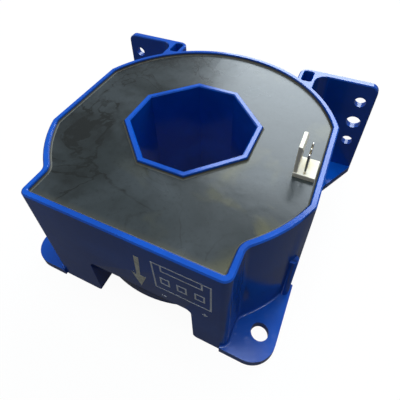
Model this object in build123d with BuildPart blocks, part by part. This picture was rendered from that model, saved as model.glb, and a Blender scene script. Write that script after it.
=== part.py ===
from build123d import *
import os
from math import cos, radians, sin, sqrt

os.makedirs("parts", exist_ok=True)

# A potted closed-loop current sensor, lying on its back with the potted face up.
# Millimetres. The origin is on the axis of the conductor aperture, in the plane of the base.
# +Z runs up that axis, -Y is the printed front wall and +Y the side of the two mounting ears.

# Moulded housing
housing_height = 46.0
wall = 2.0
floor_thickness = 2.5
flat_cut = 3.2
block_width = 64.2
front_inset = 1.8
front_corner_radius = 2.6
block_foot_radius = 3.6
flat_corner_radius = 1.2
rim_chamfer = 0.4

# Conductor aperture, a square with wide chamfers on its corners
aperture_width = 40.5
aperture_depth = 40.5
aperture_side_x = 14.0
aperture_side_y = 14.0
aperture_wall = 2.0

# Recess under the front wall, between its two feet
recess_left = -14.5
recess_right = 21.0
recess_height = 20.0
recess_depth = 6.6
recess_corner_radius = 2.2
recess_foot_radius = 1.5

# Front feet with one bolt hole each
foot_thickness = 3.2
foot_step = 0.7
foot_hole_diameter = 5.5
foot_hole_setback = 9.6
foot_overhang = 0.6
foot_shoulder = 1.3
foot_end_radius = 8.0
foot_hole_edge = 5.6
foot_root_radius = 0.6

# Half-round rib on the wall above the right foot
rib_radius = 1.7
rib_height = 24.5
rib_angle = -26.5

# Mounting ears at the back
ear_overhang = 10.0
ear_thickness = 2.9
ear_corner_radius = 3.2
ear_web_offset = 25.4
ear_web_width = 6.8
ear_web_back_radius = 3.2
ear_root_radius = 4.6
ear_flange_length = 22.2
ear_hole_edge = 5.0
ear_hole_z = 28.0
ear_hole_pitch = 20.0
ear_hole_diameter = 5.5
ear_small_hole_diameter = 4.3
pocket_wall = 1.7
pocket_length = 6.7
pocket_depth = 7.0
pocket_corner_radius = 0.8

# Potting resin
resin_drop = 1.2

# Toroid: core in an insulating case, with the winding round both
core_thickness = 5.0
core_gap = 2.4
case_wall = 1.1
case_clearance = 0.3
case_lap = 1.6
winding_thickness = 2.4
winding_floor_gap = 1.5
winding_tube_gap = 2.0
winding_wall_gap = 1.4
winding_open_angle = 12.0
winding_chamfer = 1.0
lead_diameter = 0.9
lead_inset = 3.0
lead_angle = 14.5
lead_above_board = 0.5

# Circuit board over the toroid, with room under it for its parts
board_thickness = 1.6
board_top_drop = 1.7
board_room = 9.3
board_wall_gap = 0.5
board_half_angle = 62.0

# Hall element in the core gap, with its legs up to the board
hall_width = 4.2
hall_thickness = 1.6
hall_height = 3.6
hall_legs = 4
hall_leg_pitch = 1.0
hall_leg_size = 0.35
hall_leg_above_board = 0.6
hall_slot_gap = 0.4

# Three-pin locking header
header_wall_gap = 0.65
header_y = -4.5
header_width = 6.3
header_length = 7.6
header_base_height = 3.2
header_pitch = 2.54
header_pin_count = 3
header_lock_height = 13.2
header_lock_thickness = 1.1
header_lock_width = 7.0
header_lip_reach = 0.5
header_lip_height = 1.4
header_pin_size = 0.64
header_pin_height = 10.6
header_pin_tip = 0.6
header_pin_taper = 14.0
header_pin_tail = 1.2

# Parts under the board, each placed by its distance from the board's inner edge and its angle
chip_inset = 5.9
chip_angle = 24.0
chip_length = 5.0
chip_width = 4.0
chip_height = 1.5
chip_standoff = 0.15
chip_leg_count = 4
chip_leg_pitch = 1.27
chip_leg_width = 0.42
chip_leg_reach = 1.0
transistor_inset = 9.4
transistor_angles = {"transistor_a": -36.0, "transistor_b": -53.0}
transistor_width = 8.0
transistor_body = 7.6
transistor_height = 2.8
transistor_tab = 3.2
transistor_tab_thickness = 1.0
transistor_tab_hole = 2.0
capacitor_insets = {"capacitor_a": 12.4, "capacitor_b": 4.4}
capacitor_angle = 41.0
capacitor_diameter = 6.3
capacitor_height = 5.6
capacitor_base = 6.6
capacitor_base_height = 1.2
capacitor_base_chamfer = 1.6
capacitor_groove_width = 0.6
capacitor_groove_depth = 0.3
diode_insets = {"diode_a": 4.9, "diode_b": 11.4}
diode_angle = 56.0
diode_length = 5.2
diode_cap_size = 2.6
diode_cap = 0.6
diode_barrel = 2.2
resistor_places = {
    "resistor_a": (7.2, -19.0),
    "resistor_b": (3.2, -19.0),
    "resistor_c": (2.4, 8.5),
    "resistor_d": (13.9, 25.0),
}
resistor_length = 6.3
resistor_width = 3.2
resistor_height = 0.7

# Selector slack: two places closer than this are taken as the same
same_place = 0.01


def aperture_points(grow):
    """Corners of the aperture octagon with each side moved outward by grow."""
    half_x, half_y = aperture_width / 2, aperture_depth / 2
    side_x, side_y = aperture_side_x / 2, aperture_side_y / 2
    run, rise = half_x - side_x, half_y - side_y
    slant = sqrt(run**2 + rise**2)
    shift_x = grow * (slant - rise) / run
    shift_y = grow * (slant - run) / rise
    right_top = [(half_x + grow, side_y + shift_y), (side_x + shift_x, half_y + grow)]
    left_top = [(-x, y) for x, y in reversed(right_top)]
    return right_top + left_top + [(-x, -y) for x, y in right_top + left_top]


# Radii from the aperture outwards: tube, winding, case, core, and back out to the arch
tube_corner_radius = round(max(sqrt(x**2 + y**2) for x, y in aperture_points(aperture_wall)), 1)
winding_inner_radius = tube_corner_radius + winding_tube_gap
case_inner_radius = winding_inner_radius + winding_thickness
core_inner_radius = case_inner_radius + case_wall + case_clearance
core_outer_radius = core_inner_radius + core_thickness
core_middle_radius = (core_inner_radius + core_outer_radius) / 2
case_outer_radius = core_outer_radius + case_clearance + case_wall
winding_outer_radius = case_outer_radius + winding_thickness
recess_radius = winding_outer_radius + winding_wall_gap + wall
arch_radius = recess_radius + recess_depth

# Plan sizes that follow from the arch
block_half = block_width / 2
flat_half = arch_radius - flat_cut
flat_corner_y = sqrt(arch_radius**2 - flat_half**2)
front_reach = arch_radius - front_inset
foot_front = front_reach + foot_step
foot_hole_y = foot_hole_setback - foot_front
foot_reach = flat_half + foot_overhang
foot_hole_x = foot_reach - foot_hole_edge
ear_back = arch_radius
ear_plate_front = ear_back - ear_thickness
ear_reach = flat_half + ear_overhang
ear_hole_x = ear_reach - ear_hole_edge
ear_web_outer = ear_web_offset + ear_web_width
ear_flange_front = ear_back - ear_flange_length
board_inner_radius = winding_inner_radius
lead_radius = winding_outer_radius - lead_inset
header_x = flat_half - wall - header_wall_gap - header_width / 2

# Levels, worked down from the rim and up from the floor, with the core filling what is between
resin_top = housing_height - resin_drop
board_top = resin_top - board_top_drop
board_bottom = board_top - board_thickness
winding_bottom = floor_thickness + winding_floor_gap
winding_top = board_bottom - board_room
case_bottom = winding_bottom + winding_thickness
case_top = winding_top - winding_thickness
case_seam = (case_bottom + case_top) / 2
core_bottom = case_bottom + case_wall
core_top = case_top - case_wall - case_clearance
core_height = core_top - core_bottom


# Outer outline of the body: an arch with two flats and a square front block
with BuildSketch() as body_outline:
    Circle(arch_radius)
    Rectangle(2 * flat_half, 2 * arch_radius, mode=Mode.INTERSECT)
    fillet(body_outline.vertices(), radius=flat_corner_radius)
    with Locations((0, -front_reach / 2)):
        Rectangle(block_width, front_reach)
    with Locations((0, arch_radius - front_reach)):
        Rectangle(2 * arch_radius, 2 * arch_radius, mode=Mode.INTERSECT)
    front_corners = body_outline.vertices().group_by(Axis.Y)[0]
    fillet(front_corners, radius=front_corner_radius)
    block_foot_y = -sqrt(arch_radius**2 - block_half**2)
    block_feet = [
        corner
        for corner in body_outline.vertices()
        if abs(abs(corner.X) - block_half) < same_place
        and abs(corner.Y - block_foot_y) < same_place
    ]
    fillet(block_feet, radius=block_foot_radius)

with BuildSketch() as cavity_outline:
    add(body_outline.sketch)
    offset(amount=-wall, mode=Mode.REPLACE)

# Space that the front recess takes, and the same space with the housing wall round it
recess_width = recess_right - recess_left
recess_middle = (recess_left + recess_right) / 2


def recess_outline(margin):
    """Plan of the front recess, moved outward by margin on the sides that have a wall."""
    with BuildSketch() as plan:
        with Locations((recess_middle, -arch_radius)):
            Rectangle(recess_width + 2 * margin, 2 * arch_radius)
        Circle(recess_radius - margin, mode=Mode.SUBTRACT)
        with Locations((0, arch_radius)):
            Rectangle(4 * arch_radius, 2 * arch_radius, mode=Mode.SUBTRACT)
    return plan.sketch


# Space inside the tub that the resin fills, stepped in over the front recess
with BuildPart() as tub_space:
    with BuildSketch(Plane.XY.offset(floor_thickness)):
        add(cavity_outline.sketch)
        Polygon(*aperture_points(aperture_wall), align=None, mode=Mode.SUBTRACT)
    extrude(amount=housing_height - floor_thickness)
    with BuildSketch():
        add(recess_outline(wall))
    extrude(amount=recess_height + wall, mode=Mode.SUBTRACT)

# Recess between the front feet, with rounded upper corners
with BuildPart() as front_recess:
    with BuildSketch():
        add(recess_outline(0))
    extrude(amount=recess_height)
    fillet(front_recess.edges().filter_by(Axis.Y).group_by(Axis.Z)[-1], radius=recess_corner_radius)

# Housing: tub, aperture tube, feet and ears moulded in one piece
with BuildPart() as housing:
    with BuildSketch():
        add(body_outline.sketch)
    extrude(amount=housing_height)

    # Front feet, one each side of the block
    with BuildSketch():
        with BuildLine():
            Polyline(
                (0, -foot_front),
                (foot_reach, -foot_front),
                (foot_reach, -flat_corner_y - foot_shoulder),
                (0, -flat_corner_y - foot_shoulder),
                close=True,
            )
        make_face()
        with Locations((0, -front_reach + wall)):
            Rectangle(2 * block_half - 2 * wall, 2 * front_reach, mode=Mode.SUBTRACT)
        outer = [v for v in vertices() if v.X > block_half and v.Y < -front_reach]
        fillet(outer, radius=foot_end_radius)
        mirror(about=Plane.YZ)
    extrude(amount=foot_thickness)

    # Rounded roots where the feet meet the wall of the block and the arch
    foot_roots = [
        edge
        for edge in housing.edges()
        if abs(edge.center().Z - foot_thickness) < same_place
        and block_half - same_place < abs(edge.center().X) < flat_half - wall
        and -front_reach + front_corner_radius < edge.center().Y < -flat_corner_y - wall
    ]
    fillet(foot_roots, radius=foot_root_radius)

    # Ears: a web off the arch and a plate parallel to the front wall
    with BuildSketch():
        with BuildLine():
            Polyline(
                (ear_web_offset, 0),
                (ear_web_offset, ear_back),
                (ear_reach, ear_back),
                (ear_reach, ear_plate_front),
                (ear_web_outer, ear_plate_front),
                (ear_web_outer, 0),
                close=True,
            )
        make_face()
        back_corner = [v for v in vertices() if v.X < ear_web_outer - 1 and v.Y > ear_plate_front]
        fillet(back_corner, radius=ear_web_back_radius)
        root_corner = [
            v
            for v in vertices()
            if abs(v.X - ear_web_outer) < same_place and abs(v.Y - ear_plate_front) < same_place
        ]
        fillet(root_corner, radius=ear_root_radius)
        mirror(about=Plane.YZ)
        Circle(arch_radius - wall / 2, mode=Mode.SUBTRACT)
    extrude(amount=housing_height)

    # Upper outer corners of the ear plates
    plate_corners = (
        housing.edges()
        .filter_by(Axis.Y)
        .filter_by(lambda edge: abs(abs(edge.center().X) - ear_reach) < same_place)
        .group_by(Axis.Z)[-1]
    )
    fillet(plate_corners, radius=ear_corner_radius)

    # Flanges that close the ears at the base
    with BuildSketch():
        with BuildLine():
            Polyline(
                (flat_half - wall, ear_flange_front),
                (flat_half, ear_flange_front),
                (ear_reach, ear_plate_front),
                (ear_reach, ear_back),
                (ear_web_outer, ear_back),
                (ear_web_outer, ear_flange_front),
                close=True,
            )
        make_face()
        mirror(about=Plane.YZ)
        with Locations((0, 0)):
            Circle(arch_radius - wall / 2, mode=Mode.SUBTRACT)
        Rectangle(2 * flat_half - wall, 2 * flat_corner_y, mode=Mode.SUBTRACT)
    extrude(amount=foot_thickness)

    # Half-round rib beside the right flat
    with BuildSketch():
        with Locations((arch_radius * cos(radians(rib_angle)), arch_radius * sin(radians(rib_angle)))):
            Circle(rib_radius)
    extrude(amount=rib_height)

    # Tub
    add(tub_space.part, mode=Mode.SUBTRACT)

    # Aperture right through
    with BuildSketch():
        Polygon(*aperture_points(0), align=None)
    extrude(amount=housing_height, mode=Mode.SUBTRACT)

    # Recess between the feet, whose lower corners are rounded
    add(front_recess.part, mode=Mode.SUBTRACT)
    recess_feet = [
        edge
        for edge in housing.edges().filter_by(Axis.Y).group_by(Axis.Z)[0]
        if recess_left - same_place < edge.center().X < recess_right + same_place
    ]
    fillet(recess_feet, radius=recess_foot_radius)

    # Pockets in the top of the webs
    with BuildSketch(Plane.XY.offset(housing_height)):
        pocket_middle_x = ear_web_offset + ear_web_width / 2
        with Locations((pocket_middle_x, ear_back - pocket_wall - pocket_length / 2)):
            Rectangle(ear_web_width - 2 * pocket_wall, pocket_length)
        fillet(vertices(), radius=pocket_corner_radius)
        mirror(about=Plane.YZ)
    extrude(amount=-pocket_depth, mode=Mode.SUBTRACT)

    # Bolt holes in the ears: one large between two small on each
    ear_face = Plane.XZ.offset(-ear_back)
    with BuildSketch(ear_face):
        with Locations((-ear_hole_x, ear_hole_z), (ear_hole_x, ear_hole_z)):
            Circle(ear_hole_diameter / 2)
        with Locations((0, ear_hole_z)):
            with GridLocations(2 * ear_hole_x, ear_hole_pitch, 2, 2):
                Circle(ear_small_hole_diameter / 2)
    extrude(amount=2 * ear_thickness, mode=Mode.SUBTRACT, both=True)

    # Bolt holes in the feet
    with BuildSketch():
        with Locations((foot_hole_x, foot_hole_y), (-foot_hole_x, foot_hole_y)):
            Circle(foot_hole_diameter / 2)
    extrude(amount=foot_thickness, mode=Mode.SUBTRACT)

    # Broken edges on the rim of the tub and of the aperture tube
    chamfer(housing.edges().group_by(Axis.Z)[-1], length=rim_chamfer)

housing.part.label = "housing"
export_step(housing.part, "parts/housing.step")


def ring_section(inner, outer, bottom, top):
    """Sketch on the XZ plane of a ring cross-section between two radii and two heights."""
    with BuildSketch(Plane.XZ) as section:
        with Locations(((inner + outer) / 2, (bottom + top) / 2)):
            Rectangle(outer - inner, top - bottom)
    return section.sketch


def under_board(inset, angle):
    """Place on the underside of the board, with local X pointing away from the aperture and Z down."""
    radius = board_inner_radius + inset
    middle = (radius * cos(radians(angle)), radius * sin(radians(angle)), board_bottom)
    outward = (cos(radians(angle)), sin(radians(angle)), 0)
    return Plane(origin=middle, x_dir=outward, z_dir=(0, 0, -1))


# Magnetic core: a ring of steel strip with one air gap
with BuildPart() as magnetic_core:
    add(ring_section(core_inner_radius, core_outer_radius, core_bottom, core_top))
    revolve(axis=Axis.Z)
    with Locations((core_middle_radius, 0, core_bottom)):
        Box(
            core_outer_radius,
            core_gap,
            core_height,
            align=(Align.CENTER, Align.CENTER, Align.MIN),
            mode=Mode.SUBTRACT,
        )
magnetic_core.part.label = "magnetic_core"
export_step(magnetic_core.part, "parts/magnetic_core.step")

# Insulating case, lower half
case_half_wall = case_wall / 2
with BuildPart() as core_case_lower:
    add(ring_section(case_inner_radius, case_outer_radius, case_bottom, case_seam))
    revolve(axis=Axis.Z)
    add(
        ring_section(
            case_inner_radius + case_wall, case_outer_radius - case_wall, core_bottom, case_seam
        )
    )
    revolve(axis=Axis.Z, mode=Mode.SUBTRACT)
    add(
        ring_section(
            case_inner_radius + case_half_wall,
            case_outer_radius - case_half_wall,
            case_seam - case_lap,
            case_seam,
        )
    )
    revolve(axis=Axis.Z, mode=Mode.SUBTRACT)
core_case_lower.part.label = "core_case_lower"
export_step(core_case_lower.part, "parts/core_case_lower.step")

# Insulating case, upper half, whose lip stands inside the lower half; the Hall slot is in its top
with BuildPart() as core_case_upper:
    add(ring_section(case_inner_radius, case_outer_radius, case_seam, case_top))
    revolve(axis=Axis.Z)
    add(
        ring_section(
            case_inner_radius + case_half_wall,
            case_outer_radius - case_half_wall,
            case_seam - case_lap,
            case_seam,
        )
    )
    revolve(axis=Axis.Z)
    add(
        ring_section(
            case_inner_radius + case_wall,
            case_outer_radius - case_wall,
            case_seam - case_lap,
            case_top - case_wall,
        )
    )
    revolve(axis=Axis.Z, mode=Mode.SUBTRACT)
    with Locations((core_middle_radius, 0, case_top)):
        Box(
            hall_width + 2 * hall_slot_gap,
            core_gap,
            4 * case_wall,
            mode=Mode.SUBTRACT,
        )
core_case_upper.part.label = "core_case_upper"
export_step(core_case_upper.part, "parts/core_case_upper.step")

# Secondary winding round the case, with its two leads up to the board
winding_sweep = 360 - 2 * winding_open_angle
with BuildSketch(Plane.XZ) as winding_section:
    with Locations((core_middle_radius, case_seam)):
        Rectangle(
            winding_outer_radius - winding_inner_radius,
            winding_top - winding_bottom,
        )
        chamfer(winding_section.vertices(), length=winding_chamfer)
        Rectangle(
            case_outer_radius - case_inner_radius,
            case_top - case_bottom,
            mode=Mode.SUBTRACT,
        )
with BuildPart() as secondary_winding:
    add(winding_section.sketch.rotate(Axis.Z, winding_open_angle))
    revolve(axis=Axis.Z, revolution_arc=winding_sweep)
    lead_bottom = winding_top - winding_thickness / 2
    with BuildSketch(Plane.XY.offset(lead_bottom)):
        with PolarLocations(lead_radius, 2, start_angle=-lead_angle, angular_range=4 * lead_angle):
            Circle(lead_diameter / 2)
    extrude(amount=board_top + lead_above_board - lead_bottom)
secondary_winding.part.label = "secondary_winding"
export_step(secondary_winding.part, "parts/secondary_winding.step")

# Hall element standing in the core gap
with BuildPart() as hall_element:
    hall_middle = (core_bottom + core_top) / 2
    with Locations((core_middle_radius, 0, hall_middle)):
        Box(hall_width, hall_thickness, hall_height)
    with BuildSketch(Plane.XY.offset(hall_middle + hall_height / 2)):
        with Locations((core_middle_radius, 0)):
            with GridLocations(hall_leg_pitch, hall_leg_pitch, hall_legs, 1):
                Rectangle(hall_leg_size, hall_leg_size)
    extrude(amount=board_top + hall_leg_above_board - hall_middle - hall_height / 2)
hall_element.part.label = "hall_element"
export_step(hall_element.part, "parts/hall_element.step")

# Header body: base block on the board with the locking wall along one side
with BuildPart() as header_body:
    with BuildSketch(Plane.XY.offset(board_top)):
        with Locations((header_x, header_y)):
            Rectangle(header_width, header_length)
    extrude(amount=header_base_height)
    header_left = header_x - header_width / 2
    lock_middle = (header_left + header_lock_thickness / 2, header_y)
    with BuildSketch(Plane.XY.offset(board_top)):
        with Locations(lock_middle):
            Rectangle(header_lock_thickness, header_lock_width)
    extrude(amount=header_lock_height)
    lip_bottom = board_top + header_lock_height - header_lip_height
    with BuildSketch(Plane.XZ.offset(-header_y + header_lock_width / 2)):
        with BuildLine():
            Polyline(
                (header_left + header_lock_thickness, lip_bottom),
                (header_left + header_lock_thickness + header_lip_reach, lip_bottom),
                (header_left + header_lock_thickness, lip_bottom + header_lip_height),
                close=True,
            )
        make_face()
    extrude(amount=-header_lock_width)
    with BuildSketch(Plane.XY.offset(board_top)):
        with Locations((header_x, header_y)):
            with GridLocations(header_pitch, header_pitch, 1, header_pin_count):
                Rectangle(header_pin_size, header_pin_size)
    extrude(amount=header_base_height, mode=Mode.SUBTRACT)
header_body.part.label = "header_body"
export_step(header_body.part, "parts/header_body.step")

# Header pins, named for what they carry
pins = {}
for pin_name, pin_step in {"pin_output": -1, "pin_negative": 0, "pin_positive": 1}.items():
    with BuildPart() as pin:
        with BuildSketch(Plane.XY.offset(board_bottom - header_pin_tail)):
            with Locations((header_x, header_y + pin_step * header_pitch)):
                Rectangle(header_pin_size, header_pin_size)
        extrude(amount=board_thickness + header_pin_tail + header_pin_height - header_pin_tip)
        extrude(pin.faces().sort_by(Axis.Z)[-1], amount=header_pin_tip, taper=header_pin_taper)
    pin.part.label = pin_name
    export_step(pin.part, f"parts/{pin_name}.step")
    pins[pin_name] = pin.part

# Circuit board: a sector over the toroid, drilled for the pins, the legs and the two leads
sector_x = 2 * arch_radius * cos(radians(board_half_angle))
sector_y = 2 * arch_radius * sin(radians(board_half_angle))
with BuildSketch(Plane.XY.offset(board_bottom)) as board_sector:
    with BuildLine():
        Polyline((0, 0), (sector_x, -sector_y), (2 * arch_radius, 0), (sector_x, sector_y), close=True)
    make_face()
with BuildPart() as circuit_board:
    with BuildSketch(Plane.XY.offset(board_bottom)) as board_outline:
        add(cavity_outline.sketch)
        offset(amount=-board_wall_gap, mode=Mode.REPLACE)
        Circle(arch_radius - wall - board_wall_gap, mode=Mode.INTERSECT)
        Circle(board_inner_radius, mode=Mode.SUBTRACT)
        add(board_sector.sketch, mode=Mode.INTERSECT)
    extrude(amount=board_thickness)
    for pin_part in pins.values():
        add(pin_part, mode=Mode.SUBTRACT)
    add(hall_element.part, mode=Mode.SUBTRACT)
    add(secondary_winding.part, mode=Mode.SUBTRACT)
circuit_board.part.label = "circuit_board"
export_step(circuit_board.part, "parts/circuit_board.step")

# Amplifier chip with gull legs
with BuildPart() as amplifier_chip:
    with BuildSketch(under_board(chip_inset, chip_angle).offset(chip_standoff)):
        Rectangle(chip_width, chip_length)
    extrude(amount=chip_height)
    with BuildSketch(under_board(chip_inset, chip_angle)):
        with GridLocations(chip_width + chip_leg_reach, chip_leg_pitch, 2, chip_leg_count):
            Rectangle(chip_leg_reach, chip_leg_width)
    extrude(amount=chip_height / 2)
amplifier_chip.part.label = "amplifier_chip"
export_step(amplifier_chip.part, "parts/amplifier_chip.step")

# Output transistors, lying with their tabs on the board
transistors = {}
for transistor_name, transistor_angle in transistor_angles.items():
    transistor_place = under_board(transistor_inset, transistor_angle)
    with BuildPart() as transistor:
        with BuildSketch(transistor_place):
            Rectangle(transistor_body, transistor_width)
        extrude(amount=transistor_height)
        with BuildSketch(transistor_place):
            with Locations(((transistor_body + transistor_tab) / 2, 0)):
                Rectangle(transistor_tab, transistor_width)
                Circle(transistor_tab_hole / 2, mode=Mode.SUBTRACT)
        extrude(amount=transistor_tab_thickness)
    transistor.part.label = transistor_name
    export_step(transistor.part, f"parts/{transistor_name}.step")
    transistors[transistor_name] = transistor.part

# Supply capacitors: cans on square bases
capacitors = {}
for capacitor_name, capacitor_inset in capacitor_insets.items():
    capacitor_place = under_board(capacitor_inset, capacitor_angle)
    with BuildPart() as capacitor:
        with BuildSketch(capacitor_place) as capacitor_foot:
            Rectangle(capacitor_base, capacitor_base)
            chamfer(capacitor_foot.vertices().group_by(Axis.X)[0], length=capacitor_base_chamfer)
        extrude(amount=capacitor_base_height)
        with BuildSketch(capacitor_place):
            Circle(capacitor_diameter / 2)
        extrude(amount=capacitor_height)
        with BuildSketch(capacitor_place.offset(capacitor_base_height)):
            Circle(capacitor_diameter / 2)
            Circle(capacitor_diameter / 2 - capacitor_groove_depth, mode=Mode.SUBTRACT)
        extrude(amount=capacitor_groove_width, mode=Mode.SUBTRACT)
    capacitor.part.label = capacitor_name
    export_step(capacitor.part, f"parts/{capacitor_name}.step")
    capacitors[capacitor_name] = capacitor.part

# Protection diodes: glass barrels with square end caps
diodes = {}
for diode_name, diode_inset in diode_insets.items():
    diode_place = under_board(diode_inset, diode_angle)
    with BuildPart() as diode:
        with BuildSketch(diode_place):
            with GridLocations(diode_cap_size, diode_length - diode_cap, 1, 2):
                Rectangle(diode_cap_size, diode_cap)
        extrude(amount=diode_cap_size)
        barrel_start = diode_place.from_local_coords((0, diode_cap - diode_length / 2, diode_cap_size / 2))
        with BuildSketch(Plane(origin=barrel_start, x_dir=diode_place.x_dir, z_dir=diode_place.y_dir)):
            Circle(diode_barrel / 2)
        extrude(amount=diode_length - 2 * diode_cap)
    diode.part.label = diode_name
    export_step(diode.part, f"parts/{diode_name}.step")
    diodes[diode_name] = diode.part

# Chip resistors
resistors = {}
for resistor_name, (resistor_inset, resistor_angle) in resistor_places.items():
    resistor_place = under_board(resistor_inset, resistor_angle)
    with BuildPart() as resistor:
        with BuildSketch(resistor_place):
            Rectangle(resistor_width, resistor_length)
        extrude(amount=resistor_height)
    resistor.part.label = resistor_name
    export_step(resistor.part, f"parts/{resistor_name}.step")
    resistors[resistor_name] = resistor.part

# Potting resin: fills the tub round everything that stands in it
with BuildPart() as potting_resin:
    add(tub_space.part)
    with BuildSketch(Plane.XY.offset(resin_top)):
        Rectangle(4 * arch_radius, 4 * arch_radius)
    extrude(amount=resin_drop, mode=Mode.SUBTRACT)
    add(ring_section(case_inner_radius, case_outer_radius, case_bottom, case_top))
    revolve(axis=Axis.Z, mode=Mode.SUBTRACT)
    for buried in [secondary_winding.part, circuit_board.part, hall_element.part, header_body.part]:
        add(buried, mode=Mode.SUBTRACT)
    for buried in [*pins.values(), amplifier_chip.part, *transistors.values(), *capacitors.values()]:
        add(buried, mode=Mode.SUBTRACT)
    for buried in [*diodes.values(), *resistors.values()]:
        add(buried, mode=Mode.SUBTRACT)
potting_resin.part.label = "potting_resin"
export_step(potting_resin.part, "parts/potting_resin.step")
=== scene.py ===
"""Looks of a potted current sensor: blue moulding, dark resin, ivory header and grey print."""

import logging
import math
from dataclasses import dataclass
from enum import Enum
from typing import Iterable, Optional, Union

import bmesh
import bpy
from mathutils import Matrix, Vector

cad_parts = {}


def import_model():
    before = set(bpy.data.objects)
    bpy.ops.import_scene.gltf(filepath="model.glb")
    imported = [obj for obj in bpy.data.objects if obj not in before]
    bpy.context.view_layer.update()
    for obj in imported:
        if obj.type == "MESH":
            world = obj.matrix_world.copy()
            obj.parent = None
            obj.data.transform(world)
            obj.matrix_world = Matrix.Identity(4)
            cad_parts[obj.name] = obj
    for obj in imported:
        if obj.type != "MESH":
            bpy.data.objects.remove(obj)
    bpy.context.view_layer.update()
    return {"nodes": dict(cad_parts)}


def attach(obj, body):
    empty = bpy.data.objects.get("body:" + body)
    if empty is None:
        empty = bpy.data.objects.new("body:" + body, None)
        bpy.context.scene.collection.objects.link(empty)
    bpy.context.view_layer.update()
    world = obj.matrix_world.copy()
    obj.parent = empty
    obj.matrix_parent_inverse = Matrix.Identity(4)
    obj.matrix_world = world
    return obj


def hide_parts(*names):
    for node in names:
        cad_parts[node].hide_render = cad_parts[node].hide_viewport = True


log = logging.getLogger("current_sensor")

Colour = tuple[float, float, float, float]
Triple = tuple[float, float, float]
Band = tuple[float, float]
Point = tuple[float, float]
Box = tuple[float, float, float, float]

MM = 0.001
FRAME_SIDE = 400
ROOT = "root"
WHITE: Colour = (1.0, 1.0, 1.0, 1.0)

# Corners of a CAD node closer than this are joined, and faces that bend less become one.
MERGE_DISTANCE = 0.002 * MM
FLAT_DEGREES = 0.4

# Edges that bend more than this stay crisp in the shading, where large faces lead.
CREASE_DEGREES = 32.0
FACE_WEIGHT = 100

# Edges that bend more than this get a round of so many steps, where a piece has rounds.
ROUNDED_DEGREES = 35.0
ROUND_STEPS = 2


def linear(code: str) -> Colour:
    """Turns a screen colour into the linear values a shader takes, by the sRGB curve.

    Args:
        code: Six hexadecimal digits after a hash sign.

    Returns:
        Red, green, blue and an alpha of one.
    """
    shares = [int(code[i : i + 2], 16) / 255 for i in (1, 3, 5)]
    bent = [c / 12.92 if c <= 0.04045 else ((c + 0.055) / 1.055) ** 2.4 for c in shares]
    return bent[0], bent[1], bent[2], 1.0


class Signal:
    """A node's output that takes part in Python arithmetic, each operation adding a Math node."""

    def __init__(self, graph: "Graph", socket: bpy.types.NodeSocket) -> None:
        """Keeps the graph and the socket that the value comes from."""
        self.graph = graph
        self.socket = socket

    def _maths(self, operation: str, first: "Number", second: "Number") -> "Signal":
        """Adds one Math node of the operation on two values."""
        return self.graph.node("ShaderNodeMath", {"operation": operation}, {0: first, 1: second})

    def __add__(self, other: "Number") -> "Signal":
        """Sum."""
        return self._maths("ADD", self, other)

    __radd__ = __add__

    def __sub__(self, other: "Number") -> "Signal":
        """Difference."""
        return self._maths("SUBTRACT", self, other)

    def __rsub__(self, other: "Number") -> "Signal":
        """Difference from a plain number."""
        return self._maths("SUBTRACT", other, self)

    def __mul__(self, other: "Number") -> "Signal":
        """Product."""
        return self._maths("MULTIPLY", self, other)

    __rmul__ = __mul__

    def power(self, exponent: float) -> "Signal":
        """The value raised to an exponent."""
        return self._maths("POWER", self, exponent)

    def over(self, threshold: float) -> "Signal":
        """One where the value is above the threshold, and nought elsewhere."""
        return self._maths("GREATER_THAN", self, threshold)

    def sine(self) -> "Signal":
        """Sine of the value in radians."""
        return self._maths("SINE", self, 0.0)

    def clear_step(self, low: float, high: float) -> "Signal":
        """A smooth rise.

        Args:
            low: Where it leaves nought.
            high: Where it reaches one.

        Returns:
            The rise as a value.
        """
        settings = {"interpolation_type": "SMOOTHSTEP"}
        inputs = {"Value": self, "From Min": low, "From Max": high}
        return self.graph.node("ShaderNodeMapRange", settings, inputs)

    def hill(self, low: float, top: float, high: float) -> "Signal":
        """A smooth hill: nought up to low, one at top and nought again from high."""
        return self.clear_step(low, top) * (1 - self.clear_step(top, high))

    def sibling(self, output: "Socket") -> "Signal":
        """Another output of the same node."""
        return Signal(self.graph, self.socket.node.outputs[output])


Number = Union[float, Signal]
Paint = Union[str, Signal]
Socket = Union[int, str]


@dataclass(frozen=True)
class Layer:
    """A layer of cloudy noise, and how much of it shows.

    Attributes:
        size: Rough width of a patch in metres.
        detail: How many finer layers it has.
        swirl: How far it is twisted.
        band: The noise at which it starts to show, and at which it shows in full.
        share: How strongly it shows.
    """

    size: float
    detail: float = 3.0
    swirl: float = 0.0
    band: Band = (0.4, 0.75)
    share: float = 1.0

    def shown(self, noise: Signal) -> Signal:
        """The part of the layer's noise that shows, from nought to its share."""
        return noise.clear_step(*self.band) * self.share


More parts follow.
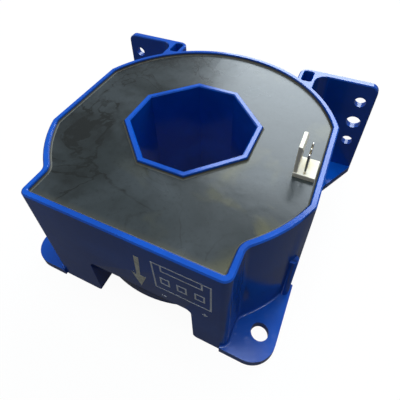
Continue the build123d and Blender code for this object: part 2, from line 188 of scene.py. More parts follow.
class Graph:
    """A node tree that takes nodes by type, settings and inputs."""

    def __init__(self, tree: bpy.types.NodeTree, output: str) -> None:
        """Clears the tree and gives it an output.

        Args:
            tree: The node tree of a material or a world.
            output: The output node's type.
        """
        self.tree = tree
        self.tree.nodes.clear()
        self.surface = self.tree.nodes.new(output).inputs["Surface"]
        self._place: Optional[Signal] = None

    def node(
        self,
        kind: str,
        settings: Optional[dict] = None,
        inputs: Optional[dict] = None,
        output: Socket = 0,
    ) -> Signal:
        """Adds one node.

        Args:
            kind: The node's type.
            settings: Properties, set before any socket.
            inputs: Values or signals, by the socket's name or place.
            output: The output that is handed back.

        Returns:
            The chosen output as a signal.
        """
        made = self.tree.nodes.new(kind)
        for key, value in (settings or {}).items():
            setattr(made, key, value)
        for key, value in (inputs or {}).items():
            self.feed(made.inputs[key], value)
        return Signal(self, made.outputs[output])

    def feed(self, socket: bpy.types.NodeSocket, value: Union[Number, Paint, tuple]) -> None:
        """Links a signal to a socket, or sets its value.

        Args:
            socket: The input that is fed.
            value: A signal, a number, a tuple of numbers or a screen colour.
        """
        if isinstance(value, Signal):
            self.tree.links.new(value.socket, socket)
        else:
            socket.default_value = linear(value) if isinstance(value, str) else value

    @property
    def place(self) -> Signal:
        """The point's own coordinates in metres, in the part's frame.

        Returns:
            The coordinates, from a node that is made at the first use.
        """
        if self._place is None:
            self._place = self.node("ShaderNodeTexCoord", output="Object")
        return self._place

    def stretched(self, scale: Triple) -> Signal:
        """The point's coordinates with X, Y and Z each times a factor."""
        return self.node("ShaderNodeMapping", {}, {"Vector": self.place, "Scale": scale})

    def axes(self) -> tuple[Signal, Signal, Signal]:
        """The point's X, Y and Z as three signals."""
        x = self.node("ShaderNodeSeparateXYZ", {}, {0: self.place})
        return x, x.sibling(1), x.sibling(2)

    def noise(self, layer: Layer, place: Optional[Signal] = None) -> Signal:
        """Cloudy noise between nought and one.

        Args:
            layer: Its size, detail and swirl.
            place: Coordinates, if they aren't the plain ones.

        Returns:
            The noise as a value.
        """
        inputs = {
            "Vector": place or self.place,
            "Scale": 1 / layer.size,
            "Detail": layer.detail,
            "Distortion": layer.swirl,
        }
        return self.node("ShaderNodeTexNoise", {}, inputs)

    def patches(self, layer: Layer) -> Signal:
        """The part of a layer that shows, from nought to its share."""
        return layer.shown(self.noise(layer))

    def blend(self, share: Number, first: Paint, second: Paint) -> Signal:
        """Mixes two colours.

        Args:
            share: How much of the second there is.
            first: Colour at nought.
            second: Colour at one.

        Returns:
            The mixed colour.
        """
        # In its colour mode the node takes its colours at 6 and 7 and gives the mix at 2.
        settings = {"data_type": "RGBA", "clamp_factor": True}
        return self.node("ShaderNodeMix", settings, {0: share, 6: first, 7: second}, output=2)

    def show_by_ray(self, lit: Signal, shown: Signal, seen: float, mirrored: float) -> None:
        """Feeds the output with two shaders, mixed by the kind of ray.

        Args:
            lit: The shader that every other ray meets.
            shown: The shader that is mixed over it.
            seen: Share of it for rays from the camera.
            mirrored: Share of it for mirrored and refracted rays.
        """
        camera = self.node("ShaderNodeLightPath", output="Is Camera Ray")
        glossy = camera.sibling("Is Glossy Ray")
        refracted = camera.sibling("Is Transmission Ray")
        share = camera * seen + (glossy + refracted) * mirrored
        mix = self.node("ShaderNodeMixShader", {}, {0: share, 1: lit, 2: shown})
        self.feed(self.surface, mix)


class MaterialGraph(Graph):
    """The node tree of one new material, with its shader already in place."""

    def __init__(self, name: str) -> None:
        """Makes the material.

        Args:
            name: The material's name.
        """
        self.material = bpy.data.materials.new(name)
        self.material.use_nodes = True
        super().__init__(self.material.node_tree, "ShaderNodeOutputMaterial")
        self.shader = self.node("ShaderNodeBsdfPrincipled")
        self.sockets = self.shader.socket.node.inputs
        self.feed(self.surface, self.shader)

    def bump(self, height: Signal, depth: float, strength: float = 1.0) -> None:
        """Feeds a bump of the surface to the shader's normal.

        Args:
            height: The bump's height, nought to one.
            depth: Real height in metres.
            strength: Share of the effect.
        """
        inputs = {"Height": height, "Distance": depth, "Strength": strength}
        self.feed(self.sockets["Normal"], self.node("ShaderNodeBump", {}, inputs))

    def set(self, **values: Union[Number, Paint, tuple]) -> None:
        """Sets or links the shader's sockets, a name's underscores standing for spaces.

        Args:
            values: Socket names with their values.
        """
        for key, value in values.items():
            self.feed(self.sockets[key.replace("_", " ")], value)


@dataclass(frozen=True)
class BlueMoulding:
    """Glossy blue thermoplastic: faint flow pattern, handling marks and low upright bands."""

    name: str = "blue_moulding"
    colour: str = "#0352ba"
    deep: str = "#0247a6"
    gloss: float = 0.15
    haze: float = 0.3
    ior: float = 1.5
    specular: float = 0.5
    flow: Layer = Layer(0.022, detail=4.0, swirl=0.6, band=(0.35, 0.7))
    dust: Layer = Layer(0.0033, detail=5.0, band=(0.52, 0.75), share=0.5)
    streak: Layer = Layer(0.0011, detail=2.0, band=(0.55, 0.8), share=0.5)
    upright: Triple = (1.0, 1.0, 0.06)
    band: Layer = Layer(0.0035, detail=2.0)
    band_share: float = 0.75
    relief: float = 0.03 * MM
    relief_share: float = 0.6

    def make(self) -> bpy.types.Material:
        """Builds the material.

        Returns:
            The material.
        """
        graph = MaterialGraph(self.name)
        upright = graph.stretched(self.upright)
        streaks = graph.noise(self.streak, upright)
        bands = graph.noise(self.band, upright)
        wear = graph.patches(self.dust) + self.streak.shown(streaks)
        graph.set(
            Base_Color=graph.blend(graph.patches(self.flow), self.deep, self.colour),
            Roughness=self.gloss + wear * (self.haze - self.gloss),
            IOR=self.ior,
            Specular_IOR_Level=self.specular,
        )
        height = streaks * (1 - self.band_share) + bands * self.band_share
        graph.bump(height, self.relief, self.relief_share)
        return graph.material


@dataclass(frozen=True)
class CastResin:
    """Glossy dark grey potting resin: clouded colour, darker veins and a few burst bubbles."""

    name: str = "cast_resin"
    colour: str = "#272d2e"
    vein: str = "#191d1d"
    pale: str = "#3d4346"
    earth: str = "#5c5833"
    # painted shade: a brownish band on the resin along the far rim, where the rim shades it
    rim_painted_shade: str = "#3a352b"
    creep_tint: str = "#4c4a40"
    gloss: float = 0.18
    haze: float = 0.33
    creep_haze: float = 0.3
    ior: float = 1.52
    specular: float = 0.43
    cloud: Layer = Layer(0.034, detail=5.0, swirl=1.0, band=(0.3, 0.75))
    veins: Layer = Layer(0.024, detail=5.0, swirl=1.1)
    vein_hill: Triple = (0.46, 0.49, 0.52)
    vein_base: float = 0.4
    patch: Layer = Layer(0.018, detail=4.0, swirl=0.5, band=(0.48, 0.75), share=0.8)
    mottle: Layer = Layer(0.0042, detail=5.0, band=(0.46, 0.72), share=0.35)
    stain: Layer = Layer(0.02, swirl=0.6, band=(0.52, 0.72), share=0.75)
    grain: Layer = Layer(0.0011, detail=4.0, band=(0.5, 0.8), share=0.35)
    right_rise: Band = (-0.02, 0.03)
    dark_left: float = 0.9
    dark_right: float = 0.3
    bubble_size: float = 0.024
    bubble_hill: Triple = (0.0, 0.03, 0.06)
    bubble_share: float = 0.35
    # where the painted rim shade lies, by distance from the axis, and how strongly it shows
    rim_shade_radius: Band = (0.0444, 0.0462)
    rim_shade_share: float = 0.8
    creep_rise: Band = (0.0448, 0.04486)
    creep_share: float = 0.8
    front_strip: Band = (-0.0442, -0.0418)
    strip_share: float = 0.45
    swell: Layer = Layer(0.014, detail=2.0, swirl=0.4, share=0.75)
    ripple: Layer = Layer(0.0032, swirl=0.8, share=0.1)
    grain_relief: float = 0.05
    bubble_relief: float = 0.1
    relief: float = 0.3 * MM
    relief_share: float = 0.5

    def make(self) -> bpy.types.Material:
        """Builds the material, with more veins on the left, the stains on the right and a painted
        shade along the far rim.

        Returns:
            The material.
        """
        graph = MaterialGraph(self.name)
        x, y, z = graph.axes()
        cloud = graph.noise(self.cloud)
        grain = graph.noise(self.grain)
        cells = {"Vector": graph.place, "Scale": 1 / self.bubble_size, "Randomness": 1.0}
        bubble = graph.node("ShaderNodeTexVoronoi", {"feature": "F1"}, cells)
        ring = bubble.hill(*self.bubble_hill)
        right = x.clear_step(*self.right_rise)
        # painted shade: a band along the rim on the far half only, standing in for the rim's
        # shadow
        far_rim_shade = (x * x + y * y).power(0.5).clear_step(*self.rim_shade_radius) * y.over(0.0)
        creep = z.clear_step(*self.creep_rise)
        strip = (1 - y.clear_step(*self.front_strip)) * (1 - creep)
        thread = graph.noise(self.veins).hill(*self.vein_hill)
        shade = graph.patches(self.patch) + graph.patches(self.mottle)
        strength = self.dark_left - right * (self.dark_left - self.dark_right)
        colour = graph.blend(self.cloud.shown(cloud), self.colour, self.pale)
        for share, tint in (
            ((thread * (self.vein_base + shade) + shade) * strength, self.vein),
            (graph.patches(self.stain) * right, self.earth),
            (self.grain.shown(grain), self.vein),
            (creep * self.creep_share + strip * self.strip_share, self.creep_tint),
            (far_rim_shade * self.rim_shade_share, self.rim_painted_shade),
            (ring * self.bubble_share, self.vein),
        ):
            colour = graph.blend(share, colour, tint)
        graph.set(
            Base_Color=colour,
            Roughness=self.gloss + cloud * (self.haze - self.gloss) + creep * self.creep_haze,
            IOR=self.ior,
            Specular_IOR_Level=self.specular,
        )
        height = grain * self.grain_relief + ring * self.bubble_relief
        for layer in (self.swell, self.ripple):
            height = height + graph.noise(layer) * layer.share
        graph.bump(height, self.relief, self.relief_share)
        return graph.material


@dataclass(frozen=True)
class IvoryNylon:
    """Unfilled nylon of the header, slightly yellowed."""

    name: str = "ivory_nylon"
    colour: str = "#f4eddb"
    shade: str = "#e6dab8"
    gloss: float = 0.36
    haze: float = 0.48
    translucency: float = 0.12
    scatter: Triple = (1.2 * MM, 1.0 * MM, 0.7 * MM)
    tint: Layer = Layer(0.006)
    skin: Layer = Layer(0.0007)
    relief: float = 0.02 * MM
    relief_share: float = 0.4

    def make(self) -> bpy.types.Material:
        """Builds the material.

        Returns:
            The material.
        """
        graph = MaterialGraph(self.name)
        tint = graph.noise(self.tint)
        graph.set(
            Base_Color=graph.blend(self.tint.shown(tint), self.colour, self.shade),
            Roughness=self.gloss + tint * (self.haze - self.gloss),
            Subsurface_Weight=self.translucency,
            Subsurface_Radius=self.scatter,
        )
        graph.bump(graph.noise(self.skin), self.relief, self.relief_share)
        return graph.material


@dataclass(frozen=True)
class Metal:
    """A bare metal with drawn or rolled streaks."""

    name: str
    colour: str
    dull: str
    gloss: float = 0.28
    streak: Triple = (1.0, 1.0, 0.08)
    grain_size: float = 0.0006
    band: Band = (0.35, 0.7)
    haze_gain: float = 0.15
    relief: float = 0.006 * MM
    relief_share: float = 0.5

    def make(self) -> bpy.types.Material:
        """Builds the material.

        Returns:
            The material.
        """
        graph = MaterialGraph(self.name)
        grain = graph.noise(Layer(self.grain_size), graph.stretched(self.streak))
        graph.set(
            Base_Color=graph.blend(grain.clear_step(*self.band), self.colour, self.dull),
            Metallic=1.0,
            Roughness=self.gloss + grain * self.haze_gain,
        )
        graph.bump(grain, self.relief, self.relief_share)
        return graph.material


@dataclass(frozen=True)
class Plain:
    """A dielectric with a fine mottle: print, moulding compound, glass, ceramic or insulation."""

    name: str
    colour: str
    shade: str
    mottle_size: float = 0.002
    mottle_detail: float = 4.0
    band: Band = (0.4, 0.7)
    gloss: float = 0.4
    haze: float = 0.55
    relief: float = 0.01 * MM
    relief_share: float = 0.5

    def make(self) -> bpy.types.Material:
        """Builds the material.

        Returns:
            The material.
        """
        graph = MaterialGraph(self.name)
        mottle = graph.noise(Layer(self.mottle_size, detail=self.mottle_detail))
        graph.set(
            Base_Color=graph.blend(mottle.clear_step(*self.band), self.colour, self.shade),
            Roughness=self.gloss + mottle * (self.haze - self.gloss),
        )
        graph.bump(mottle, self.relief, self.relief_share)
        return graph.material


@dataclass(frozen=True)
class EnamelledWire:
    """Turns of enamelled copper wire round a toroid, as ridges that fan out from its axis, with
    painted shade in the grooves between them.
    """

    name: str = "enamelled_wire"
    colour: str = "#b4582a"
    # painted shade: dark copper laid in the grooves between turns
    groove_painted_shade: str = "#4a1f0e"
    groove_shade_band: Band = (0.08, 0.5)
    turns: int = 260
    jitter: Layer = Layer(0.006, detail=2.0)
    jitter_turn: float = 3.0
    metallic: float = 0.7
    gloss: float = 0.32
    haze_gain: float = 0.1
    enamel: float = 0.5
    relief: float = 0.25 * MM

    def make(self) -> bpy.types.Material:
        """Builds the material.

        Returns:
            The material.
        """
        graph = MaterialGraph(self.name)
        x, y, _ = graph.axes()
        angle = graph.node("ShaderNodeMath", {"operation": "ARCTAN2"}, {0: y, 1: x})
        jitter = graph.noise(self.jitter)
        ridge = (angle * self.turns + jitter * self.jitter_turn).sine() * 0.5 + 0.5
        graph.set(
            # painted shade in the troughs of the ridges
            Base_Color=graph.blend(ridge.clear_step(*self.groove_shade_band), self.groove_painted_shade, self.colour),
            Metallic=self.metallic,
            Roughness=self.gloss + jitter * self.haze_gain,
            Coat_Weight=self.enamel,
        )
        graph.bump(ridge, self.relief)
        return graph.material


class Finish(Enum):
    """Every finish on the sensor."""

    HOUSING = BlueMoulding()
    RESIN = CastResin()
    HEADER = IvoryNylon()
    PIN = Metal("tin_plate", "#ece8e0", "#bdb6a8", gloss=0.18)
    PRINT = Plain("grey_print", "#f4f8ff", "#e0e6f4", mottle_size=0.0011, gloss=0.45)
    ARROW_PRINT = Plain("warm_grey_print", "#f3f1e2", "#d3d1c2", mottle_size=0.0011, gloss=0.45)
    BOARD = Plain("solder_mask", "#17603a", "#0f4a2b", mottle_size=0.003, gloss=0.25)
    COMPOUND = Plain(
        "moulding_compound", "#232326", "#18181a", mottle_size=0.0004, relief=0.02 * MM
    )
    CORE = Metal(
        "wound_strip", "#8b8d92", "#6b6d72", streak=(0.05, 0.05, 1.0), grain_size=0.0004
    )
    CASE = Plain("case_insulation", "#1d1e22", "#141518", mottle_size=0.0015)
    WIRE = EnamelledWire()
    CAN = Metal("drawn_can", "#d4d6d9", "#b3b6ba", gloss=0.22)
    GLASS = Plain("amber_glass", "#a5411c", "#7d2c10", mottle_size=0.003, gloss=0.08, haze=0.14)
    CERAMIC = Plain("coated_ceramic", "#202124", "#111214", mottle_size=0.0006)


Dressing = tuple[Finish, str, tuple[str, ...]]


class Paintbox:
    """Makes each material once and hands it out."""

    def __init__(self) -> None:
        """Starts empty."""
        self._made: dict[Finish, bpy.types.Material] = {}

    def __getitem__(self, finish: Finish) -> bpy.types.Material:
        """The material of a finish.

        Args:
            finish: The finish.

        Returns:
            Its material, made at the first use.
        """
        if finish not in self._made:
            self._made[finish] = finish.value.make()
        return self._made[finish]


class Bench:
    """Turns meshes into finished pieces that ride on the sensor."""

    def __init__(self, nodes: dict[str, bpy.types.Object]) -> None:
        """Keeps the CAD nodes.

        Args:
            nodes: The frame's nodes by name.
        """
        self.nodes = nodes
        self.paint = Paintbox()

    def piece(
        self,
        name: str,
        mesh: bmesh.types.BMesh,
        finish: Finish,
        slot: str,
        crease: float = CREASE_DEGREES,
    ) -> bpy.types.Object:
        """Makes an object of a mesh, with its finish and its body.

        Args:
            name: The piece's name.
            mesh: The shape in the part's frame, freed here.
            finish: Its finish.
            slot: Not used.
            crease: Edges of more degrees than this stay crisp.

        Returns:
            The object.
        """
        data = bpy.data.meshes.new(name)
        mesh.to_mesh(data)
        mesh.free()
        data.shade_smooth()
        data.set_sharp_from_angle(angle=math.radians(crease))
        data.materials.append(self.paint[finish])
        made = bpy.data.objects.new(name, data)
        bpy.context.scene.collection.objects.link(made)
        even = made.modifiers.new("even_shading", "WEIGHTED_NORMAL")
        even.keep_sharp = True
        even.weight = FACE_WEIGHT
        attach(made, ROOT)
        log.info("%s: %d faces", name, len(data.polygons))
        return made

    def merged_copy(self, node: str) -> bmesh.types.BMesh:
        """A CAD node's mesh with its loose triangles joined.

        Args:
            node: The node's name.

        Returns:
            The joined mesh.
        """
        mesh = bmesh.new()
        mesh.from_mesh(self.nodes[node].data)
        bmesh.ops.remove_doubles(mesh, verts=mesh.verts, dist=MERGE_DISTANCE)
        bmesh.ops.dissolve_limit(
            mesh, angle_limit=math.radians(FLAT_DEGREES), verts=mesh.verts, edges=mesh.edges
        )
        return mesh

    def dress(self, finish: Finish, names: Iterable[str]) -> None:
        """Gives CAD nodes a finish as they stand.

        Args:
            finish: The finish.
            names: The nodes.
        """
        for name in names:
            node = self.nodes[name]
            node.data.materials.clear()
            node.data.materials.append(self.paint[finish])
            log.info("%s: CAD node with %s", name, finish.name.lower())


def soften(piece: bpy.types.Object, width: float) -> None:
    """Rounds a piece's sharp edges with a live Bevel.

    Args:
        piece: The piece.
        width: Width of the round in metres.
    """
    bevel = piece.modifiers.new("soft_edges", "BEVEL")
    bevel.width = width
    bevel.segments = ROUND_STEPS
    bevel.limit_method = "ANGLE"
    bevel.angle_limit = math.radians(ROUNDED_DEGREES)


@dataclass
class Moulding:
    """The blue housing."""

    node: str = "housing"
    slot: str = "housing"
    crease: float = 24.0

    def build(self, bench: Bench) -> None:
        """Puts a smooth-shaded copy in the node's place.

        Args:
            bench: Where the piece is made.
        """
        mesh = bench.merged_copy(self.node)
        made = bench.piece("housing_moulding", mesh, Finish.HOUSING, self.slot, self.crease)
        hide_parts(self.node)


@dataclass
class Potting:
    """The resin in the tub, which creeps a little way up the tub's walls and the aperture tube."""

    node: str = "potting_resin"
    slot: str = "potting_resin"
    crease: float = 50.0
    level: float = 44.8 * MM
    slack: float = 0.05 * MM
    level_cosine: float = 0.99
    creep_steps: tuple[Point, ...] = (
        (0.1 * MM, 0.65 * MM),
        (0.18 * MM, 0.32 * MM),
        (0.27 * MM, 0.1 * MM),
    )
    header_low: Point = (35.5 * MM, -9.0 * MM)
    header_high: Point = (42.7 * MM, 0.0)

    def _level_faces(self, mesh: bmesh.types.BMesh) -> list[bmesh.types.BMFace]:
        """Finds the resin's level surface.

        Args:
            mesh: The resin's mesh.

        Returns:
            Its faces.
        """
        mesh.normal_update()
        return [
            face
            for face in mesh.faces
            if face.normal.z > self.level_cosine
            and abs(face.calc_center_median().z - self.level) < self.slack
        ]

    def _by_header(self, vertex: bmesh.types.BMVert) -> bool:
        """Whether a corner stands at the header's foot."""
        inside_x = self.header_low[0] < vertex.co.x < self.header_high[0]
        return inside_x and self.header_low[1] < vertex.co.y < self.header_high[1]

    def _plug(
        self, mesh: bmesh.types.BMesh, level: list[bmesh.types.BMFace]
    ) -> list[bmesh.types.BMFace]:
        """Closes the header's opening for a while, so that no creep starts from it.

        Args:
            mesh: The resin's mesh.
            level: The level faces.

        Returns:
            The faces that close it.
        """
        edges = {edge for face in level for edge in face.edges}
        around = [edge for edge in edges if all(self._by_header(corner) for corner in edge.verts)]
        return bmesh.ops.edgeloop_fill(mesh, edges=around)["faces"]

    def _creep(self, mesh: bmesh.types.BMesh) -> None:
        """Draws the level surface up the walls in a hollow curve.

        Args:
            mesh: The resin's mesh.
        """
        level = self._level_faces(mesh)
        plug = self._plug(mesh, level)
        region = level + plug
        lifts = []
        for width, height in self.creep_steps:
            grown = bmesh.ops.inset_region(
                mesh, faces=region, thickness=width, use_even_offset=True, use_boundary=True
            )
            inner = {corner for face in region for corner in face.verts}
            outer = {corner for face in grown["faces"] for corner in face.verts} - inner
            lifts.append((list(outer), height))
        for corners, height in lifts:
            bmesh.ops.translate(mesh, verts=corners, vec=(0, 0, height))
        bmesh.ops.delete(mesh, geom=plug, context="FACES_ONLY")
        log.info("resin creep: %d rings of %d corners", len(lifts), len(lifts[0][0]))

    def build(self, bench: Bench) -> None:
        """Puts a smooth-shaded copy in the node's place.

        Args:
            bench: Where the piece is made.
        """
        mesh = bench.merged_copy(self.node)
        self._creep(mesh)
        made = bench.piece("resin_fill", mesh, Finish.RESIN, self.slot, self.crease)
        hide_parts(self.node)


@dataclass
class Header:
    """The ivory header with its three pins."""

    body: str = "header_body"
    pins: tuple[str, ...] = ("pin_output", "pin_negative", "pin_positive")
    edge: float = 0.12 * MM
    pin_edge: float = 0.05 * MM

    def build(self, bench: Bench) -> None:
        """Rounds the body's edges and plates the pins.

        Args:
            bench: Where the pieces are made.
        """
        for name, finish, slot, width in [
            (self.body, Finish.HEADER, "header_body", self.edge),
            *[(pin, Finish.PIN, "pin_tin", self.pin_edge) for pin in self.pins],
        ]:
            made = bench.piece(f"{name}_finished", bench.merged_copy(name), finish, slot)
            soften(made, width)
            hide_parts(name)


@dataclass
class FrontPrint:
    """Thin grey print on the front wall: a current arrow and the plan of the header.

    A point is given as X and Z on the wall, and a box as low X, low Z, high X and high Z.
    """

    wall_y: float = -46.4 * MM
    thickness: float = 0.02 * MM
    line: float = 0.5 * MM
    arrow_x: float = 6.0 * MM
    arrow_top: float = 39.4 * MM
    arrow_tip: Point = (5.1 * MM, 21.9 * MM)
    shaft_half: float = 0.8 * MM
    neck_half: float = 0.64 * MM
    neck_left: float = 27.9 * MM
    neck_right: float = 28.9 * MM
    barb_left: Point = (2.8 * MM, 29.1 * MM)
    barb_right: Point = (7.6 * MM, 28.7 * MM)
    frame_box: Box = (10.4 * MM, 26.3 * MM, 27.5 * MM, 40.5 * MM)
    tray_box: Box = (13.0 * MM, 37.0 * MM, 25.1 * MM, 40.0 * MM)
    square_left: tuple[float, ...] = (12.4 * MM, 17.4 * MM, 22.6 * MM)
    square_bottom: float = 29.9 * MM
    square_width: float = 3.0 * MM
    square_height: float = 3.6 * MM
    minus_at: Point = (12.7 * MM, 22.0 * MM)
    plus_at: Point = (25.4 * MM, 21.9 * MM)
    sign_half: float = 0.75 * MM

    def _thicken(self, mesh: bmesh.types.BMesh, faces: list[bmesh.types.BMFace]) -> None:
        """Gives flat faces on the wall the thickness of the print.

        Args:
            mesh: The mesh that they are in.
            faces: The faces.
        """
        grown = bmesh.ops.extrude_face_region(mesh, geom=faces, use_keep_orig=True)
        moved = [part for part in grown["geom"] if isinstance(part, bmesh.types.BMVert)]
        bmesh.ops.translate(mesh, verts=moved, vec=(0, -self.thickness, 0))

    def _flat(self, mesh: bmesh.types.BMesh, points: list[Point]) -> bmesh.types.BMFace:
        """Adds one flat face on the wall.

        Args:
            mesh: The mesh that gets it.
            points: Its corners, anticlockwise seen from the front.

        Returns:
            The face.
        """
        return mesh.faces.new([mesh.verts.new((x, self.wall_y, z)) for x, z in points])

    def _slab(self, mesh: bmesh.types.BMesh, points: list[Point]) -> None:
        """Adds a thin printed patch.

        Args:
            mesh: The mesh that gets it.
            points: Its corners, anticlockwise seen from the front.
        """
        self._thicken(mesh, [self._flat(mesh, points)])

    @staticmethod
    def _corners(box: Box) -> list[Point]:
        """The four corners of a box."""
        low_x, low_z, high_x, high_z = box
        return [(low_x, low_z), (high_x, low_z), (high_x, high_z), (low_x, high_z)]

    def _frame(self, mesh: bmesh.types.BMesh, box: Box) -> None:
        """Adds a rectangle drawn as a line inside its box.

        Args:
            mesh: The mesh that gets it.
            box: The rectangle.
        """
        middle = self._flat(mesh, self._corners(box))
        middle.normal_update()
        ring = bmesh.ops.inset_region(
            mesh, faces=[middle], thickness=self.line, use_boundary=True, use_even_offset=True
        )
        bmesh.ops.delete(mesh, geom=[middle], context="FACES_ONLY")
        self._thicken(mesh, ring["faces"])

    def _tray(self, mesh: bmesh.types.BMesh, box: Box) -> None:
        """Adds three sides of a rectangle, left open at its top.

        Args:
            mesh: The mesh that gets it.
            box: The rectangle.
        """
        low_x, low_z, high_x, high_z = box
        inner_low, inner_high, inner_z = low_x + self.line, high_x - self.line, low_z + self.line
        outside = [(low_x, low_z), (high_x, low_z), (high_x, high_z)]
        inside = [(inner_high, high_z), (inner_high, inner_z), (inner_low, inner_z)]
        self._slab(mesh, [*outside, *inside, (inner_low, high_z), (low_x, high_z)])

    def _minus(self, mesh: bmesh.types.BMesh) -> None:
        """Adds the minus sign.

        Args:
            mesh: The mesh that gets it.
        """
        x, z = self.minus_at
        arm, half = self.sign_half, self.line / 2
        self._slab(mesh, self._corners((x - arm, z - half, x + arm, z + half)))

    def _plus(self, mesh: bmesh.types.BMesh) -> None:
        """Adds the plus sign, one arm after the other.

        Args:
            mesh: The mesh that gets it.
        """
        x, z = self.plus_at
        arm, half = self.sign_half, self.line / 2
        steps = [(arm, -half), (arm, half), (half, half)]
        points = []
        for _ in range(4):
            points += [(x + across, z + up) for across, up in steps]
            steps = [(-up, across) for across, up in steps]
        self._slab(mesh, points)

    def _arrow(self, mesh: bmesh.types.BMesh) -> None:
        """Adds the arrow: a shaft that narrows to a neck, and a head with two barbs.

        Args:
            mesh: The mesh that gets it.
        """
        points = [
            (self.arrow_x + self.shaft_half, self.arrow_top),
            (self.arrow_x - self.shaft_half, self.arrow_top),
            (self.arrow_tip[0] - self.neck_half, self.neck_left),
            self.barb_left,
            self.arrow_tip,
            self.barb_right,
            (self.arrow_tip[0] + self.neck_half, self.neck_right),
        ]
        self._slab(mesh, points)

    def build(self, bench: Bench) -> None:
        """Prints the arrow and the header plan.

        Args:
            bench: Where the pieces are made.
        """
        arrow = bmesh.new()
        self._arrow(arrow)
        plan = bmesh.new()
        self._frame(plan, self.frame_box)
        self._tray(plan, self.tray_box)
        top = self.square_bottom + self.square_height
        for left in self.square_left:
            self._frame(plan, (left, self.square_bottom, left + self.square_width, top))
        self._minus(plan)
        self._plus(plan)
        for name, mesh, finish in (
            ("current_arrow", arrow, Finish.ARROW_PRINT),
            ("header_plan", plan, Finish.PRINT),
        ):
            bmesh.ops.recalc_face_normals(mesh, faces=mesh.faces)
            bench.piece(name, mesh, finish, "housing")


@dataclass
class InnerWorks:
    """What the resin hides: the toroid, the sensing element and the board with its parts."""

    crease: float = 28.0
    round_parts: tuple[Dressing, ...] = (
        (Finish.CORE, "core_steel", ("magnetic_core",)),
        (Finish.CASE, "case_plastic", ("core_case_lower", "core_case_upper")),
        (Finish.WIRE, "winding_copper", ("secondary_winding",)),
        (Finish.CAN, "can_aluminium", ("capacitor_a", "capacitor_b")),
        (Finish.GLASS, "diode_glass", ("diode_a", "diode_b")),
    )
    flat_parts: tuple[Dressing, ...] = (
        (
            Finish.CERAMIC,
            "resistor_ceramic",
            ("resistor_a", "resistor_b", "resistor_c", "resistor_d"),
        ),
        (
            Finish.COMPOUND,
            "chip_plastic",
            ("hall_element", "amplifier_chip", "transistor_a", "transistor_b"),
        ),
        (Finish.BOARD, "board", ("circuit_board",)),
    )

    def build(self, bench: Bench) -> None:
        """Puts smooth copies in place of the round nodes and dresses the flat-sided ones.

        Args:
            bench: Where the pieces are made.
        """
        for finish, slot, names in self.round_parts:
            for name in names:
                mesh = bench.merged_copy(name)
                made = bench.piece(f"{name}_finished", mesh, finish, slot, self.crease)
                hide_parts(name)
        for finish, slot, names in self.flat_parts:
            bench.dress(finish, names)


@dataclass(frozen=True)
class SoftLamp:
    """A square soft lamp: its place and side in metres and its power in watts."""

    name: str
    place: Triple
    side: float
    power: float

    def hang(self, aim: Triple, colour: Triple) -> None:
        """Adds the lamp to the stage.

        Args:
            aim: The point that it faces.
            colour: Its light's red, green and blue.
        """
        data = bpy.data.lights.new(self.name, "AREA")
        data.shape = "SQUARE"
        data.size = self.side
        data.energy = self.power
        data.color = colour
        lamp = bpy.data.objects.new(self.name, data)
        lamp.location = self.place
        lamp.rotation_euler = (Vector(aim) - lamp.location).to_track_quat("-Z", "Y").to_euler()
        bpy.context.scene.collection.objects.link(lamp)


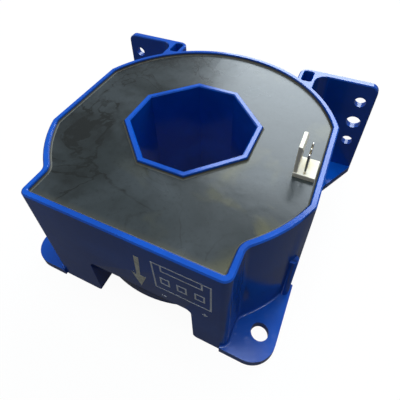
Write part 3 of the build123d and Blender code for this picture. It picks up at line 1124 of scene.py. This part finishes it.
@dataclass
class Studio:
    """White sweep, soft lamps and the photograph's camera."""

    camera_place: Triple = (42.2 * MM, -80.1 * MM, 124.0 * MM)
    azimuth: float = 26.29
    elevation: float = -43.52
    roll: float = -1.72
    sensor_width: float = 36.0
    focal_pixels: float = 356.1
    shift_pixels: float = -60.0
    clip_near: float = 0.005
    clip_far: float = 50.0
    floor_side: float = 6.0
    floor_gap: float = 0.02 * MM
    floor_colour: str = "#fbfbfb"
    floor_bounce: str = "#464646"
    floor_roughness: float = 0.9
    floor_specular: float = 0.1
    floor_seen: float = 0.96
    floor_mirrored: float = 0.06
    world_seen: float = 1.0
    world_shown: float = 1.0
    world_lit: float = 0.09
    world_mirrored: float = 0.2
    lamp_aim: Triple = (0.0, 0.0, 0.03)
    lamp_colour: Triple = (0.83, 0.93, 1.0)
    soft_lamps: tuple[SoftLamp, ...] = (
        SoftLamp("back_lamp", (0.02, 0.95, 0.68), side=0.8, power=15.0),
        SoftLamp("top_lamp", (0.0, -0.02, 1.1), side=0.5, power=8.5),
        SoftLamp("left_lamp", (-0.9, -0.25, 0.35), side=0.5, power=0.75),
    )

    def camera(self) -> None:
        """Makes the camera and sets it for the render."""
        data = bpy.data.cameras.new("photograph")
        data.sensor_width = self.sensor_width
        data.lens = self.focal_pixels / FRAME_SIDE * data.sensor_width
        data.shift_y = self.shift_pixels / FRAME_SIDE
        data.clip_start = self.clip_near
        data.clip_end = self.clip_far
        eye = bpy.data.objects.new("photograph", data)
        bpy.context.scene.collection.objects.link(eye)
        turn = Matrix.Rotation(math.radians(self.azimuth), 4, "Z")
        tilt = Matrix.Rotation(math.radians(90 + self.elevation), 4, "X")
        lean = Matrix.Rotation(math.radians(self.roll), 4, "Z")
        eye.matrix_world = Matrix.Translation(Vector(self.camera_place)) @ turn @ tilt @ lean
        bpy.context.scene.camera = eye

    def lamps(self) -> None:
        """Hangs a large lamp behind, a soft one overhead and a weak one on the left."""
        for lamp in self.soft_lamps:
            lamp.hang(self.lamp_aim, self.lamp_colour)

    def world(self) -> None:
        """Lights the scene evenly and shows white to the camera."""
        world = bpy.data.worlds.new("studio")
        bpy.context.scene.world = world
        world.use_nodes = True
        graph = Graph(world.node_tree, "ShaderNodeOutputWorld")
        lit, shown = (
            graph.node("ShaderNodeBackground", {}, {"Color": WHITE, "Strength": strength})
            for strength in (self.world_lit, self.world_shown)
        )
        graph.show_by_ray(lit, shown, self.world_seen, self.world_mirrored)

    def floor(self) -> None:
        """Lays a pale floor under the base, which throws less light back than it shows."""
        mesh = bmesh.new()
        bmesh.ops.create_grid(mesh, x_segments=1, y_segments=1, size=self.floor_side / 2)
        bmesh.ops.translate(mesh, verts=mesh.verts, vec=(0, 0, -self.floor_gap))
        data = bpy.data.meshes.new("floor")
        mesh.to_mesh(data)
        mesh.free()
        graph = MaterialGraph("floor")
        seen = graph.node("ShaderNodeLightPath", output="Is Camera Ray")
        graph.set(
            Base_Color=graph.blend(seen, self.floor_bounce, self.floor_colour),
            Roughness=self.floor_roughness,
            Specular_IOR_Level=self.floor_specular,
        )
        glow = graph.node("ShaderNodeEmission", {}, {"Color": WHITE})
        graph.show_by_ray(graph.shader, glow, self.floor_seen, self.floor_mirrored)
        data.materials.append(graph.material)
        ground = bpy.data.objects.new("floor", data)
        bpy.context.scene.collection.objects.link(ground)

    def build(self) -> None:
        """Sets the whole stage."""
        self.camera()
        self.lamps()
        self.world()
        self.floor()
        bpy.context.scene.view_settings.view_transform = "Standard"


def corners(bounds: Iterable[Iterable[float]]) -> list[list[float]]:
    """A box's two corners as plain lists of numbers."""
    low, high = bounds
    return [[float(c) for c in low], [float(c) for c in high]]


def main() -> None:
    """Loads the frame, builds every sub-assembly in order and sets the stage."""
    logging.basicConfig(level=logging.INFO, format="%(message)s")
    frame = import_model()
    bench = Bench(frame["nodes"])
    for part in (Moulding(), Potting(), Header(), FrontPrint(), InnerWorks()):
        log.info("building %s", type(part).__name__)
        part.build(bench)
    Studio().build()


if __name__ == "__main__":
    main()
